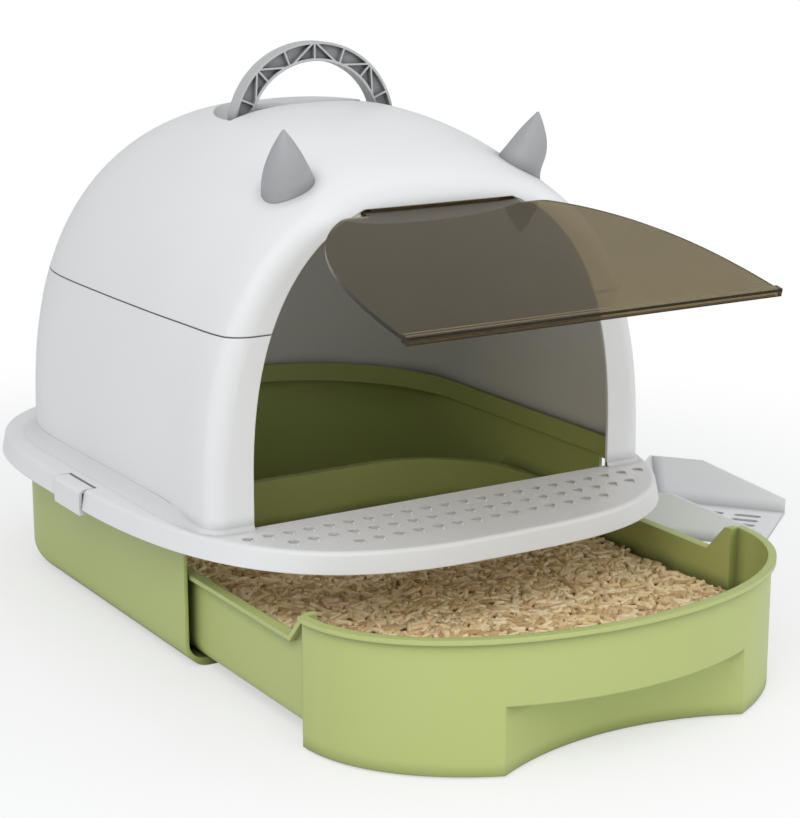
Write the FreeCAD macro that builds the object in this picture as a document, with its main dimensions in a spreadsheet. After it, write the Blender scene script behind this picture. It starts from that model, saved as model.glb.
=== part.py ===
import FreeCAD, Part
import Sketcher
import math
import os
import re

# Hooded litter box: a tray with a pull-out drawer under a two-piece domed hood.
# The front faces -Y, +Z is up, and the origin is the middle of the tray's foot on the floor.
# The drawer and the flap are written in their closed places and placed open, as they rest.

SIZES = {
    # tray
    "base_width": 400,
    "base_depth": 394,
    "base_height": 119.5,
    "base_wall": 3,
    "base_floor": 7,
    "base_corner": 110,
    "base_edge": 20,
    "rim_overhang": 18,
    "rim_corner": 150,
    "rim_plate": 3,
    "rim_lip": 3,
    "rim_drop": 13.5,
    "collar_inset": 1.5,
    "collar_wall": 2.5,
    "collar_height": 14.5,
    "collar_corner": 160,
    # drawer
    "drawer_out": 181.5,
    "drawer_gap": 0.6,
    "drawer_side": 1.5,
    "drawer_back": 3,
    "drawer_lift": 0.4,
    "drawer_wall": 3,
    "drawer_rim": 76.5,
    "drawer_edge": 14,
    "roll_width": 5.5,
    "roll_thick": 4,
    "panel_inset": 2,
    "panel_bow": 139,
    "panel_lift": 1.5,
    "panel_side": 99.5,
    "panel_crown": 4.5,
    "panel_roll": 3.5,
    "panel_overlap": 20,
    "notch_run": 25,
    "notch_flat": 4,
    "recess_radius": 237,
    "recess_depth": 46,
    "recess_height": 52,
    "litter_depth": 37,
    "litter_gap": 0.3,
    "litter_fall": 17,
    "litter_fall_run": 76,
    # hood shells
    "hood_gap": 2,
    "hood_wall": 3,
    "hood_reach": 52,
    "hood_round": 16,
    "hood_swell": 44.1,
    "arch_cover": 6.2,
    "apex_back": 199.7,
    "shoulder_depth": 164,
    "section_power": 2.63,
    "plan_power": 2.55,
    "profile_power": 2.62,
    "parting_height": 150,
    "parting_gap": 1.0,
    "tongue_height": 5,
    "tongue_wall": 1.3,
    "tongue_gap": 0.2,
    # flange and entrance step
    "flange_plate": 3,
    "flange_overhang": 32.5,
    "flange_back": 28,
    "flange_widest": 230,
    "flange_power": 3,
    "flange_round": 4,
    "step_depth": 112,
    "skirt_height": 16.5,
    "skirt_wall": 3,
    "skirt_draft": 3,
    "hole_diameter": 8.5,
    "hole_pitch": 17.3,
    "hole_row_pitch": 22.5,
    "hole_first_row": 20,
    "stud_diameter": 2.6,
    "stud_height": 1.2,
    "stud_offset": 7.5,
    # entrance arch and flap
    "door_width": 331,
    "door_spring": 30.5,
    "door_power": 2.45,
    "flap_gap": 4.5,
    "flap_thick": 3,
    "flap_foot_gap": 9.5,
    "flap_open": 77,
    "flap_lip_height": 7,
    "flap_lip_thick": 6,
    "flap_neck": 69.5,
    "flap_neck_drop": 16,
    "flap_shoulder_round": 15,
    "hinge_height": 235.5,
    "hinge_cover": 11.5,
    "lintel_gap": 1.5,
    "hinge_back": 7.8,
    "hinge_boss": 7,
    "hinge_boss_length": 10,
    "hinge_pin": 4,
    "hinge_lug_gap": 0.6,
    "hinge_lug_width": 10,
    "hinge_lug_reach": 6.5,
    "hinge_lug_height": 17,
    "pin_fit": 0.15,
    # handle
    "handle_back": 200,
    "handle_drop": 22,
    "handle_half": 76.5,
    "handle_rise": 71,
    "handle_band": 16,
    "handle_depth": 13,
    "handle_web": 2,
    "handle_flange": 2.2,
    "handle_rib": 1.6,
    "handle_pin": 5,
    "handle_pin_grip": 12,
    "moat_side": 6,
    "moat_front": 11,
    "moat_back": 8,
    "moat_floor_gap": 1.5,
    "island_side": 7.5,
    # ears
    "ear_spread": 105,
    "ear_back": 50,
    "ear_base": 42,
    "ear_height": 43,
    "ear_lean": 11,
    "ear_nod": 13,
    "ear_peg": 12,
    "ear_peg_depth": 9,
    # side clips
    "latch_back": 190,
    "latch_width": 50.4,
    "latch_gap": 0.8,
    "latch_reach": 14.4,
    "latch_plate": 3,
    "latch_proud": 1,
    "latch_hook": 4.2,
    "latch_hook_gap": 0.6,
    "latch_hook_bite": 2.5,
    "latch_pin": 3.5,
    "latch_knuckle": 7,
    "latch_lug": 6,
    "latch_lug_depth": 8,
    # scoop
    "scoop_x": 352,
    "scoop_y": -62,
    "scoop_turn": -52,
    "scoop_length": 128,
    "scoop_width": 112,
    "scoop_flare": 8,
    "scoop_wall": 2.4,
    "scoop_back_height": 44,
    "scoop_front_height": 14,
    "scoop_slot_length": 26,
    "scoop_slot_width": 7,
    "scoop_slot_pitch": 15,
    "scoop_slot_row_pitch": 36,
    "scoop_grip_length": 104,
    "scoop_grip_width": 27,
    "scoop_grip_thick": 8,
    "scoop_grip_height": 15,
}

# Places that follow from the driving sizes.
PLACES = {
    "base_half": "base_width / 2",
    "base_front": "-base_depth / 2",
    "base_rear": "base_depth / 2",
    "collar_half": "base_half - collar_inset",
    "collar_rear": "base_rear - collar_inset",
    "rim_half": "base_half + rim_overhang",
    "rim_rear": "base_rear + rim_overhang",
    "rim_low": "base_height - rim_drop",
    "tub_half": "base_half - base_wall - drawer_side - roll_width",
    "tub_rear": "base_rear - base_wall - drawer_back - roll_width",
    "tub_corner": "base_corner - base_half + tub_half",
    "tub_low": "base_floor + drawer_lift",
    "tub_floor": "tub_low + drawer_wall",
    "litter_top": "tub_floor + litter_depth",
    "litter_rear": "tub_rear - drawer_wall - litter_gap",
    "shoulder": "base_front - drawer_gap",
    "tub_front": "shoulder - panel_overlap",
    "panel_half": "base_half - panel_inset",
    "panel_top": "panel_side + panel_crown",
    "panel_edge": "panel_half + panel_roll",
    "recess_axis": "shoulder - panel_bow + recess_depth - recess_radius",
    "hood_half": "collar_half + hood_gap + hood_wall",
    "hood_rear": "collar_rear + hood_gap + hood_wall",
    "hood_face": "base_front - hood_reach",
    "door_crown": "hinge_height + hinge_cover",
    "front_rise": "door_crown + arch_cover",
    "hood_rise": "front_rise + hood_swell",
    "hood_top": "base_height + hood_rise",
    "collar_front": "hood_face + hood_round - hood_wall",
    "parting": "base_height + parting_height",
    "flange_top": "base_height + flange_plate",
    "skirt_half": "hood_half + flange_overhang",
    "skirt_low": "flange_top - skirt_height",
    "hinge_y": "hood_face + hinge_back",
    "hinge_z": "base_height + hinge_height",
    "flap_drop": "hinge_height - flange_plate - flap_foot_gap",
    "handle_y": "hood_face + handle_back",
    "handle_z": "hood_top - handle_drop",
    "moat_half": "handle_half + moat_side",
    "moat_floor": "handle_z - handle_depth / 2 - moat_floor_gap",
    "latch_y": "hood_face + latch_back",
    "latch_x": "skirt_half - latch_reach + latch_knuckle / 2",
    "latch_z": "flange_top - latch_knuckle / 2",
    "latch_window": "latch_width / 2 + latch_gap",
    "hook_top": "rim_low - latch_hook_gap",
}

FAR = 1000
SIDES = {"left": -1, "right": 1}

doc = FreeCAD.newDocument("LitterBox")
sheet = doc.addObject("Spreadsheet::Sheet", "Sheet")
for row_number, (alias, number) in enumerate(SIZES.items(), start=1):
    sheet.set(f"A{row_number}", alias)
    sheet.set(f"B{row_number}", str(number))
    sheet.setAlias(f"B{row_number}", alias)
doc.recompute()


def bind(text):
    """Write out a place or size as an expression of sheet cells."""
    def cell(match):
        word = match.group(0)
        if word in PLACES:
            return f"({bind(PLACES[word])})"
        return f"Sheet.{word}" if word in SIZES else word
    return re.sub(r"[A-Za-z_]\w*", cell, str(text))


def value(text):
    """Give a place or size as a number."""
    return float(sheet.evalExpression(bind(text)))


def vector(x, y, z):
    """Make a point from three places or sizes."""
    return FreeCAD.Vector(value(x), value(y), value(z))


def box(name, x, y, z):
    """Make a box from its (low, high) places along each axis."""
    item = doc.addObject("Part::Box", name)
    for side, axis, (low, high) in zip(("Length", "Width", "Height"), "xyz", (x, y, z)):
        item.setExpression(side, bind(f"({high}) - ({low})"))
        item.setExpression(f"Placement.Base.{axis}", bind(low))
    return item


TURNS = {
    "x": FreeCAD.Rotation(FreeCAD.Vector(0, 1, 0), 90),
    "y": FreeCAD.Rotation(FreeCAD.Vector(1, 0, 0), -90),
    "z": FreeCAD.Rotation(),
}


def rod(name, axis, radius, length, x, y, z):
    """Make a round bar of a given length from a start point along an axis."""
    item = doc.addObject("Part::Cylinder", name)
    item.Placement = FreeCAD.Placement(FreeCAD.Vector(), TURNS[axis])
    item.setExpression("Radius", bind(radius))
    item.setExpression("Height", bind(length))
    for letter, place in zip("xyz", (x, y, z)):
        item.setExpression(f"Placement.Base.{letter}", bind(place))
    return item


def extrude(name, outline, direction, length):
    """Make a solid by moving a closed outline along a direction."""
    item = doc.addObject("Part::Extrusion", name)
    item.Base = outline
    item.DirMode = "Custom"
    item.Dir = direction
    item.Solid = True
    item.setExpression("LengthFwd", bind(length))
    return item


def oval(name, half_x, half_y, y, z_low, z_high):
    """Make an upright elliptic column about the middle plane."""
    curve = doc.addObject("Part::Ellipse", name + "_curve")
    curve.setExpression("MajorRadius", bind(half_x))
    curve.setExpression("MinorRadius", bind(half_y))
    curve.setExpression("Placement.Base.y", bind(y))
    curve.setExpression("Placement.Base.z", bind(z_low))
    return extrude(name, curve, FreeCAD.Vector(0, 0, 1), f"({z_high}) - ({z_low})")


def arch(name, half, rise, y_low, y_high, z):
    """Make an elliptic column that lies along Y, about the middle plane."""
    curve = doc.addObject("Part::Ellipse", name + "_curve")
    curve.Placement = FreeCAD.Placement(FreeCAD.Vector(), FreeCAD.Rotation(FreeCAD.Vector(1, 0, 0), 90))
    curve.setExpression("MajorRadius", bind(half))
    curve.setExpression("MinorRadius", bind(rise))
    curve.setExpression("Placement.Base.y", bind(y_low))
    curve.setExpression("Placement.Base.z", bind(z))
    return extrude(name, curve, FreeCAD.Vector(0, 1, 0), f"({y_high}) - ({y_low})")


def fix(sketch, name, kind, geometry, point, place):
    """Tie one coordinate of a sketch point to a place."""
    number = sketch.addConstraint(Sketcher.Constraint(kind, -1, 1, geometry, point, value(place)))
    sketch.renameConstraint(number, name)
    sketch.setExpression(f"Constraints.{name}", bind(place))


def u_column(name, half, front, rear, radius, z_low, z_high):
    """Make an upright column with a square front and two rounded rear corners."""
    sketch = doc.addObject("Sketcher::SketchObject", name + "_outline")
    h, f, r, c = value(half), value(front), value(rear), value(radius)
    up = FreeCAD.Vector(0, 0, 1)
    corners = [FreeCAD.Vector(x, y, 0) for x, y in
               ((-h, f), (h, f), (h, r - c), (h - c, r), (c - h, r), (-h, r - c))]
    sketch.addGeometry(Part.LineSegment(corners[0], corners[1]))
    sketch.addGeometry(Part.LineSegment(corners[1], corners[2]))
    right = Part.Circle(FreeCAD.Vector(h - c, r - c, 0), up, c)
    sketch.addGeometry(Part.ArcOfCircle(right, 0, math.pi / 2))
    sketch.addGeometry(Part.LineSegment(corners[3], corners[4]))
    left = Part.Circle(FreeCAD.Vector(c - h, r - c, 0), up, c)
    sketch.addGeometry(Part.ArcOfCircle(left, math.pi / 2, math.pi))
    sketch.addGeometry(Part.LineSegment(corners[5], corners[0]))
    sketch.addConstraint(Sketcher.Constraint("Coincident", 0, 2, 1, 1))
    sketch.addConstraint(Sketcher.Constraint("Coincident", 5, 2, 0, 1))
    for first, second in ((1, 2), (2, 3), (3, 4), (4, 5)):
        sketch.addConstraint(Sketcher.Constraint("Tangent", first, 2, second, 1))
    sketch.addConstraint(Sketcher.Constraint("Horizontal", 3))
    sketch.addConstraint(Sketcher.Constraint("Vertical", 1))
    sketch.addConstraint(Sketcher.Constraint("Vertical", 5))
    sketch.addConstraint(Sketcher.Constraint("Equal", 2, 4))
    sketch.addConstraint(Sketcher.Constraint("Symmetric", 0, 1, 0, 2, -2))
    fix(sketch, "half", "DistanceX", 0, 2, half)
    fix(sketch, "front", "DistanceY", 0, 2, front)
    fix(sketch, "rear", "DistanceY", 3, 1, rear)
    number = sketch.addConstraint(Sketcher.Constraint("Radius", 2, c))
    sketch.renameConstraint(number, "corner")
    sketch.setExpression("Constraints.corner", bind(radius))
    sketch.setExpression("Placement.Base.z", bind(z_low))
    return extrude(name, sketch, up, f"({z_high}) - ({z_low})")


def polygon(sketch, points):
    """Draw a closed polygon whose corners are tied to places."""
    corners = [FreeCAD.Vector(value(a), value(b), 0) for a, b in points]
    count = len(corners)
    for index in range(count):
        sketch.addGeometry(Part.LineSegment(corners[index], corners[(index + 1) % count]))
    for index, (a, b) in enumerate(points):
        sketch.addConstraint(Sketcher.Constraint("Coincident", index - 1 if index else count - 1, 2, index, 1))
        fix(sketch, f"across_{index}", "DistanceX", index, 1, a)
        fix(sketch, f"along_{index}", "DistanceY", index, 1, b)


def side_column(name, points, half):
    """Make a column across the box from a (y, z) polygon, out to a half-width each way."""
    sketch = doc.addObject("Sketcher::SketchObject", name + "_outline")
    turn = FreeCAD.Rotation(FreeCAD.Vector(0, 1, 0), FreeCAD.Vector(0, 0, 1), FreeCAD.Vector(1, 0, 0), "ZXY")
    sketch.Placement = FreeCAD.Placement(FreeCAD.Vector(), turn)
    polygon(sketch, points)
    sketch.setExpression("Placement.Base.x", bind(f"-({half})"))
    return extrude(name, sketch, FreeCAD.Vector(1, 0, 0), f"2 * ({half})")


def cut(name, base, *tools):
    """Take one or more solids away from another."""
    item = doc.addObject("Part::Cut", name)
    item.Base = base
    item.Tool = tools[0] if len(tools) == 1 else fuse(name + "_tools", *tools)
    item.Refine = False
    return item


def fuse(name, *items):
    """Join solids into one."""
    item = doc.addObject("Part::MultiFuse", name)
    item.Shapes = list(items)
    item.Refine = False
    return item


def common(name, *items):
    """Keep what solids share."""
    item = doc.addObject("Part::MultiCommon", name)
    item.Shapes = list(items)
    item.Refine = False
    return item


def shaped(name, shape):
    """Hold a shape worked out from the sheet by formula."""
    item = doc.addObject("Part::Feature", name)
    item.Shape = shape
    return item


def round_low_edges(name, base, radius):
    """Round the bottom edges of a column, except the straight one across its front."""
    doc.recompute()
    low = base.Shape.BoundBox.ZMin
    front = base.Shape.BoundBox.YMin
    item = doc.addObject("Part::Fillet", name)
    item.Base = base
    chosen = []
    for number, edge in enumerate(base.Shape.Edges, start=1):
        bounds = edge.BoundBox
        if bounds.ZMax < low + 0.01 and bounds.YMax > front + 0.01:
            chosen.append((number, value(radius), value(radius)))
    item.Edges = chosen
    return item


def superellipse(half, reach, power, angle):
    """Give the (across, along) place of a point on a superellipse quarter or half."""
    across = math.copysign(abs(math.cos(angle)) ** (2 / power), math.cos(angle)) * half
    return across, abs(math.sin(angle)) ** (2 / power) * reach


def skin(rows):
    """Make a smooth surface through a grid of points."""
    across = [index / (len(rows[0]) - 1) for index in range(len(rows[0]))]
    along = [0.0]
    for first, second in zip(rows, rows[1:]):
        step = sum((p - q).Length for p, q in zip(first, second)) / len(first)
        along.append(along[-1] + step)
    curves = [curve_through(row, across) for row in rows]
    columns = [curve_through([curve.getPole(index) for curve in curves], along)
               for index in range(1, curves[0].NbPoles + 1)]
    poles = [[column.getPole(index) for column in columns] for index in range(1, columns[0].NbPoles + 1)]
    surface = Part.BSplineSurface()
    surface.buildFromPolesMultsKnots(
        poles, columns[0].getMultiplicities(), curves[0].getMultiplicities(),
        columns[0].getKnots(), curves[0].getKnots(), False, False, 3, 3)
    return surface


def curve_through(points, parameters):
    """Make a smooth curve through points at given parameters."""
    curve = Part.BSplineCurve()
    curve.interpolate(Points=points, Parameters=parameters)
    return curve


def hood_stations(inset):
    """List (y, half-width, height) of the hood's arched sections from front to rear."""
    half, rear = value("hood_half") - inset, value("hood_rear") - inset
    front, rounding = value("hood_face") + inset, value("hood_round") - inset
    start = value("hood_rear") - value("shoulder_depth")
    rise, apex = value("hood_rise") - inset, value("hood_face") + value("apex_back")
    fall = value("hood_rise") - value("front_rise")

    def height(y):
        if y < apex:
            return rise - fall * ((apex - y) / value("apex_back")) ** 2
        share = min((y - apex) / (rear - apex), 1)
        return rise * (1 - share ** value("profile_power")) ** (1 / value("profile_power"))

    stations = []
    for degrees in range(0, 90, 18):
        turn = math.radians(degrees)
        y = front + rounding * (1 - math.cos(turn))
        shrink = rounding * (1 - math.sin(turn))
        stations.append((y, half - shrink, height(y) - shrink))
    side_steps, rear_steps, last_turn = 6, 10, 88.5
    for index in range(side_steps + 1):
        y = front + rounding + (start - front - rounding) * index / side_steps
        stations.append((y, half, height(y)))
    for index in range(1, rear_steps + 1):
        turn = math.radians(last_turn * index / rear_steps)
        width, reach = superellipse(half, rear - start, value("plan_power"), turn)
        stations.append((start + reach, width, height(start + reach)))
    return stations


def hood_faces(inset):
    """Make the hood's skin, moved inwards by an inset, with its two flat ends and the wire of its foot."""
    steps = 24
    foot = value("base_height")
    rows = []
    for y, half, height in hood_stations(inset):
        row = []
        for index in range(steps + 1):
            across, up = superellipse(half, height, value("section_power"), math.pi * index / steps)
            row.append(FreeCAD.Vector(across, y, foot + (up if 0 < index < steps else 0)))
        rows.append(row)
    face = skin(rows).toShape()
    front = Part.makeLine(rows[0][-1], rows[0][0])
    rear = Part.makeLine(rows[-1][-1], rows[-1][0])
    ends = {"front": [], "rear": [], "side": []}
    for edge in face.Edges:
        bounds = edge.BoundBox
        if bounds.YLength > bounds.XLength or bounds.YLength > 1:
            ends["side"].append(edge)
        else:
            ends["front" if bounds.YMin < 0 else "rear"].append(edge)
    front_face = Part.Face(Part.Wire(ends["front"] + [front]))
    rear_face = Part.Face(Part.Wire(ends["rear"] + [rear]))
    foot_wire = Part.Wire(Part.__sortEdges__(ends["side"] + [front, rear]))
    return [face, front_face, rear_face], foot_wire


def ring(outer, inner):
    """Make the flat face between two closed outlines."""
    return Part.makeFace([outer, inner], "Part::FaceMakerBullseye")


def closed(faces):
    """Make a solid from the faces that bound it."""
    sewn = Part.makeCompound(faces)
    sewn.sewShape()
    solid = Part.Solid(sewn.Shells[0])
    solid.fix(1e-4, 1e-4, 1e-4)
    return solid


def hood_form(inset):
    """Make the solid inside the hood's surface, moved inwards by an inset."""
    faces, foot = hood_faces(inset)
    return closed(faces + [Part.Face(foot)])


def hood_shell(outer_inset, inner_inset):
    """Make the shell between two insets of the hood's surface, open at its foot."""
    outer, outer_foot = hood_faces(outer_inset)
    inner, inner_foot = hood_faces(inner_inset)
    return closed(outer + inner + [ring(outer_foot, inner_foot)])


def flange_outline(inset, z):
    """Draw the closed outline of the flange and step at a height, moved inwards by an inset."""
    middle = value("hood_face") + value("flange_widest")
    front = middle - value("hood_face") + value("step_depth") - inset
    rear = value("hood_rear") + value("flange_back") - middle - inset
    half = value("skirt_half") - inset
    points = []
    steps = 24
    for reach, sign in ((rear, 1), (front, -1)):
        for index in range(steps):
            across, along = superellipse(half, reach, value("flange_power"), math.pi * index / steps)
            points.append(FreeCAD.Vector(across * sign, middle + sign * along, z))
    curve = Part.BSplineCurve()
    curve.interpolate(Points=points, PeriodicFlag=True)
    return Part.Wire(curve.toShape())


def flange_form():
    """Make the flange: a plate round the hood's foot with a drafted skirt, rounded along its top edge."""
    low, under, top = value("skirt_low"), value("base_height"), value("flange_top")
    wall, slope, rounding = value("skirt_wall"), value("skirt_draft / skirt_height"), value("flange_round")
    foot = hood_faces(value("hood_wall") / 2)[1]
    foot_top = foot.copy()
    foot_top.translate(FreeCAD.Vector(0, 0, top - under))
    outer = [flange_outline(0, low)]
    for degrees in (0, 22.5, 45, 67.5, 90):
        turn = math.radians(degrees)
        inset = slope * (top - rounding - low) + rounding * (1 - math.cos(turn))
        outer.append(flange_outline(inset, top - rounding * (1 - math.sin(turn))))
    inner = [flange_outline(wall, low), flange_outline(wall + slope * (under - low), under)]
    faces = [ring(outer[-1], foot_top), ring(inner[-1], foot), ring(outer[0], inner[0])]
    for wires in (outer, inner):
        for first, second in zip(wires, wires[1:]):
            faces += Part.makeLoft([first, second], False, True).Faces
    faces += foot.extrude(FreeCAD.Vector(0, 0, top - under)).Faces
    return closed(faces)


def door_points(inset, low):
    """List (x, z) points up one side of the entrance arch, over its crown and down the other."""
    half, spring = value("door_width") / 2 - inset, value("base_height + door_spring")
    rise = value("door_crown - door_spring") - inset
    steps = 24
    points = [(half, low)]
    for index in range(steps + 1):
        across, up = superellipse(half, rise, value("door_power"), math.pi * index / steps)
        points.append((across, spring + up))
    points.append((-half, low))
    return points


def plate(points, y_low, y_high):
    """Make a plate square to Y whose outline has a straight foot, straight legs and a smooth arch."""
    corners = [FreeCAD.Vector(x, y_low, z) for x, z in points]
    curve = Part.BSplineCurve()
    curve.interpolate(Points=corners[1:-1])
    wire = Part.Wire([
        Part.makeLine(corners[0], corners[1]), curve.toShape(),
        Part.makeLine(corners[-2], corners[-1]), Part.makeLine(corners[-1], corners[0])])
    return Part.Face(wire).extrude(FreeCAD.Vector(0, y_high - y_low, 0))


def build_base_tray():
    """Tray: floor, walls on three sides, and a rim with a lip and a collar for the hood."""
    inside = ("base_front - panel_overlap", "base_height + collar_height + 1")
    outer = u_column("tray_outer", "base_half", "base_front", "base_rear", "base_corner",
                     0, "base_height - rim_plate")
    inner = u_column("tray_inner", "base_half - base_wall", inside[0], "base_rear - base_wall",
                     "base_corner - base_wall", "base_floor", inside[1])
    shell = cut("tray_shell", round_low_edges("tray_outer_round", outer, "base_edge"),
                round_low_edges("tray_inner_round", inner, "base_edge - base_floor"))
    rim = u_column("rim_plate", "rim_half", "base_front", "rim_rear", "rim_corner",
                   "base_height - rim_plate", "base_height")
    collar = u_column("collar", "collar_half", "base_front", "collar_rear", "collar_corner",
                      "base_height", "base_height + collar_height")
    mouth = u_column("collar_mouth", "collar_half - collar_wall", inside[0], "collar_rear - collar_wall",
                     "collar_corner - collar_wall", "base_height - rim_plate", inside[1])
    lip = u_column("rim_lip", "rim_half", "base_front", "rim_rear", "rim_corner",
                   "rim_low", "base_height - rim_plate")
    lip_hollow = u_column("rim_lip_hollow", "rim_half - rim_lip", inside[0], "rim_rear - rim_lip",
                          "rim_corner - rim_lip", "rim_low", "base_height - rim_plate")
    head = cut("rim_head", fuse("rim_and_collar", rim, collar), mouth)
    arms = [box(name + "_collar_arm", mirrored(side, "collar_half - collar_wall", "collar_half"),
                ("collar_front", "base_front + collar_wall"), ("base_height - rim_plate", "base_height + collar_height"))
            for name, side in SIDES.items()]
    return fuse("base_tray", shell, head, cut("rim_edge", lip, lip_hollow), *arms)


def drawer_inside(name, gap, low, top):
    """Make the space inside the drawer, between two heights, shrunk by a gap."""
    tub = u_column(name + "_tub", f"tub_half - drawer_wall - {gap}", "tub_front",
                   f"tub_rear - drawer_wall - {gap}", f"tub_corner - drawer_wall - {gap}", low, top)
    tub = round_low_edges(name + "_tub_round", tub, "drawer_edge - drawer_wall")
    bow = oval(name + "_bow", f"panel_half - drawer_wall - {gap}", f"panel_bow - drawer_wall - {gap}",
               "shoulder", low, top)
    front = box(name + "_front", (-FAR, FAR), (-FAR, f"shoulder - drawer_wall - {gap}"), (low, top))
    wall = rod(name + "_recess", "z", f"recess_radius + drawer_wall + {gap}",
               f"recess_height + drawer_wall + {gap}", 0, "recess_axis", 0)
    return fuse(name, tub, cut(name + "_panel", common(name + "_half", bow, front), wall))


def crown_column(name, drop):
    """Make the lying column whose top gives the drawer front its shallow crown."""
    radius = "(panel_edge * panel_edge + panel_crown * panel_crown) / (2 * panel_crown)"
    return rod(name, "y", radius, 2 * FAR, 0, -FAR, f"panel_top - {drop} - {radius}")


def build_litter_drawer():
    """Drawer: a narrow tub behind a wide bowed panel, with rolled rims and a finger recess."""
    tub = u_column("tub_outer", "tub_half", "tub_front", "tub_rear", "tub_corner", "tub_low", "drawer_rim")
    tub = round_low_edges("tub_outer_round", tub, "drawer_edge")
    roll = u_column("tub_roll", "tub_half + roll_width", "shoulder + notch_run", "tub_rear + roll_width",
                    "tub_corner + roll_width", "drawer_rim - roll_thick", "drawer_rim")
    slope = [("shoulder + notch_run", "drawer_rim"), ("shoulder + notch_flat", "panel_side"),
             ("shoulder - drawer_wall", "panel_side")]
    foot = [("shoulder - drawer_wall", "drawer_rim - roll_thick"),
            ("shoulder + notch_run", "drawer_rim - roll_thick")]
    cheek = side_column("tub_cheek", slope + foot, "tub_half")
    under = [("shoulder - drawer_wall", "panel_side - roll_thick"),
             ("shoulder + notch_flat - roll_thick / 2", "panel_side - roll_thick"),
             ("shoulder + notch_run - roll_thick / 2", "drawer_rim - roll_thick"),
             ("shoulder + notch_run", "drawer_rim - roll_thick")]
    cheek_roll = side_column("cheek_roll", slope + under, "tub_half + roll_width")
    ahead = box("panel_ahead", (-FAR, FAR), (-FAR, "shoulder"), (-FAR, FAR))
    bow = common("panel_solid", oval("panel_bow", "panel_half", "panel_bow", "shoulder", "panel_lift", FAR),
                 ahead, crown_column("panel_crown", 0))
    edge = cut("panel_edge_roll",
               common("panel_edge", oval("panel_edge_bow", "panel_edge", "panel_bow + panel_roll",
                                         "shoulder", "panel_lift", FAR), ahead, crown_column("edge_crown", 0)),
               crown_column("edge_under", "roll_thick"))
    recess = rod("finger_recess", "z", "recess_radius", "recess_height", 0, "recess_axis", 0)
    under_bow = oval("panel_under_bow", "panel_half - drawer_wall", "panel_bow - drawer_wall", "shoulder",
                     0, "tub_low")
    under_box = box("panel_under_box", (-FAR, FAR), (-FAR, "shoulder - drawer_wall"), (0, "tub_low"))
    under_wall = rod("panel_under_wall", "z", "recess_radius + drawer_wall", "recess_height", 0, "recess_axis", 0)
    under_cut = cut("panel_under", common("panel_under_half", under_bow, under_box), under_wall)
    body = fuse("drawer_body", tub, roll, cheek, cheek_roll, bow, edge)
    inside = drawer_inside("drawer_space", "0", "tub_floor", FAR)
    drawer = cut("litter_drawer", body, inside, recess, under_cut)
    drawer.setExpression("Placement.Base.y", bind("-drawer_out"))
    return drawer


def build_litter_bed():
    """Litter: the fill of loose pellets in the drawer, level at the front and falling away to the rear."""
    level = drawer_inside("litter_level", "litter_gap", "tub_floor", "litter_top")
    slope = [("litter_rear - litter_fall_run", "litter_top"), ("litter_rear", "litter_top - litter_fall"),
             ("litter_rear + base_wall", "litter_top - litter_fall"),
             ("litter_rear + base_wall", "litter_top + base_wall"),
             ("litter_rear - litter_fall_run", "litter_top + base_wall")]
    bed = cut("litter_bed", level, side_column("litter_slope", slope, "base_half"))
    bed.setExpression("Placement.Base.y", bind("-drawer_out"))
    return bed


def step_rows():
    """List (y, hole places across) of the rows of drain holes in the entrance step."""
    pitch = value("hole_pitch")
    reach = value("door_width") / 2 + pitch
    rows = []
    for row in range(3):
        y = value("hood_face") - value("hole_first_row") - row * value("hole_row_pitch")
        count = 2 * int((reach - row * 2 * pitch) / pitch + 0.5) + row % 2
        rows.append((y, [(index - (count - 1) / 2) * pitch for index in range(count)]))
    return rows


def perforated(solid):
    """Put the drain holes through the entrance step of a solid, with an anti-slip stud in front of each."""
    low, top, tall = value("base_height"), value("flange_top"), value("stud_height")
    radius, stud = value("hole_diameter") / 2, value("stud_diameter") / 2
    holes, pegs = [], []
    for y, places in step_rows():
        holes += [FreeCAD.Vector(x, y, low) for x in places]
        pegs += [FreeCAD.Vector(x, y - value("stud_offset"), top) for x in places]
    up = FreeCAD.Vector(0, 0, top - low)
    rims = [Part.Wire(Part.makeCircle(radius, centre)) for centre in holes]
    brims = [Part.Wire(Part.makeCircle(radius, centre + up)) for centre in holes]
    roots = [Part.Wire(Part.makeCircle(stud, centre)) for centre in pegs]
    faces = []
    for face in solid.Faces:
        bounds = face.BoundBox
        ahead = bounds.ZLength < 0.001 and bounds.YMin < value("hood_face - hole_first_row")
        if ahead and abs(bounds.ZMin - top) < 0.001:
            face = Part.makeFace(face.Wires + brims + roots, "Part::FaceMakerBullseye")
        elif ahead and abs(bounds.ZMin - low) < 0.001:
            face = Part.makeFace(face.Wires + rims, "Part::FaceMakerBullseye")
        faces.append(face)
    for rim in rims:
        faces += rim.extrude(up).Faces
    for centre in pegs:
        cone = Part.makeCone(stud, stud / 2, tall, centre)
        faces += [face for face in cone.Faces if face.BoundBox.ZMax > top + 0.001]
    return closed(faces)


def latch_seat(name, side):
    """Make the window in the flange for a side clip, its two lugs and the pin's bore."""
    window = box(name + "_window", mirrored(side, "skirt_half - latch_reach - latch_gap / 2", FAR),
                 ("latch_y - latch_window", "latch_y + latch_window"), (0, "flange_top + 1"))
    lugs = []
    inner = "latch_x - latch_lug_depth / 2"
    outer = "latch_x + latch_lug_depth / 2"
    for end in (-1, 1):
        near, far = f"latch_y + {end} * latch_window", f"latch_y + {end} * (latch_window + latch_lug)"
        low, high = (near, far) if end > 0 else (far, near)
        lugs.append(box(f"{name}_lug", mirrored(side, inner, outer), (low, high),
                        ("latch_z - latch_knuckle / 2", "base_height")))
    bore = rod(name + "_bore", "y", "latch_pin / 2 + pin_fit", "2 * (latch_window + latch_lug)",
               f"{side} * latch_x", "latch_y - latch_window - latch_lug", "latch_z")
    return window, lugs, bore


def mirrored(side, inner, outer):
    """Give a (low, high) pair across the box for the left or right side."""
    return (inner, outer) if side > 0 else (f"-({outer})", f"-({inner})")


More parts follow.
